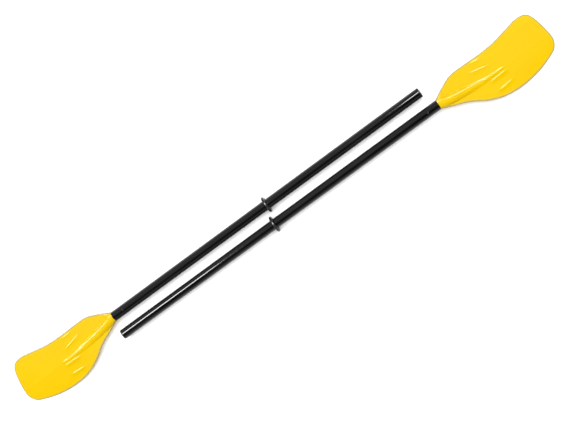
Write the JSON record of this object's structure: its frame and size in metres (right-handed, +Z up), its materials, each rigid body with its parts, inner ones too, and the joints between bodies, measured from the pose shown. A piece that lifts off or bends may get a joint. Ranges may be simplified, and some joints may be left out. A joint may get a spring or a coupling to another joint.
{
  "type": "kayak paddle",
  "caption": "Kayak paddle in two single-bladed halves laid side by side: round shafts with sliding drip rings, and spooned asymmetric blades held by snap buttons.",
  "frame": {"origin": "centre of the bounding box at the floor that the rings and the blade tips rest on", "axes": "+X along both shafts, towards the right half's blade; +Y across the shafts, away from the blades' bulging edges; +Z up"},
  "size_m": [1.5284, 0.1844, 0.043],
  "materials": {
    "blade_plastic": "glossy moulded yellow plastic",
    "shaft_plastic": "semi-gloss black extruded tube",
    "plug_plastic": "satin black moulded plastic",
    "ring_rubber": "smooth black rubber",
    "button_plastic": "satin dark grey plastic",
    "spring_steel": "bright spring strip"
  },
  "bodies": {
    "half_left": {"blade_left": "blade_plastic", "shaft_tube_left": "shaft_plastic", "end_plug_left": "plug_plastic", "snap_spring_left": "spring_steel"},
    "half_right": {"blade_right": "blade_plastic", "shaft_tube_right": "shaft_plastic", "end_plug_right": "plug_plastic", "snap_spring_right": "spring_steel"},
    "ring_left": {"drip_ring_left": "ring_rubber"},
    "ring_right": {"drip_ring_right": "ring_rubber"},
    "button_left": {"snap_button_left": "button_plastic"},
    "button_right": {"snap_button_right": "button_plastic"}
  },
  "joints": [
    {"name": "half_right_lift", "type": "slide", "parent": "half_left", "child": "half_right", "axis": [0, 0, 1], "range_m": [0, 0.3]},
    {"name": "ring_left_slide", "type": "slide", "parent": "half_left", "child": "ring_left", "axis": [1, 0, 0], "range_m": [-0.422, 0.44]},
    {"name": "ring_right_slide", "type": "slide", "parent": "half_right", "child": "ring_right", "axis": [-1, 0, 0], "range_m": [-0.433, 0.452]},
    {"name": "button_left_press", "type": "slide", "parent": "half_left", "child": "button_left", "axis": [0, 0, 1], "range_m": [-0.004, 0], "stiffness_N_per_m": 2000, "springref_m": 0.002, "deforming": ["snap_spring_left"]},
    {"name": "button_right_press", "type": "slide", "parent": "half_right", "child": "button_right", "axis": [0, 0, 1], "range_m": [-0.004, 0], "stiffness_N_per_m": 2000, "springref_m": 0.002, "deforming": ["snap_spring_right"]}
  ]
}
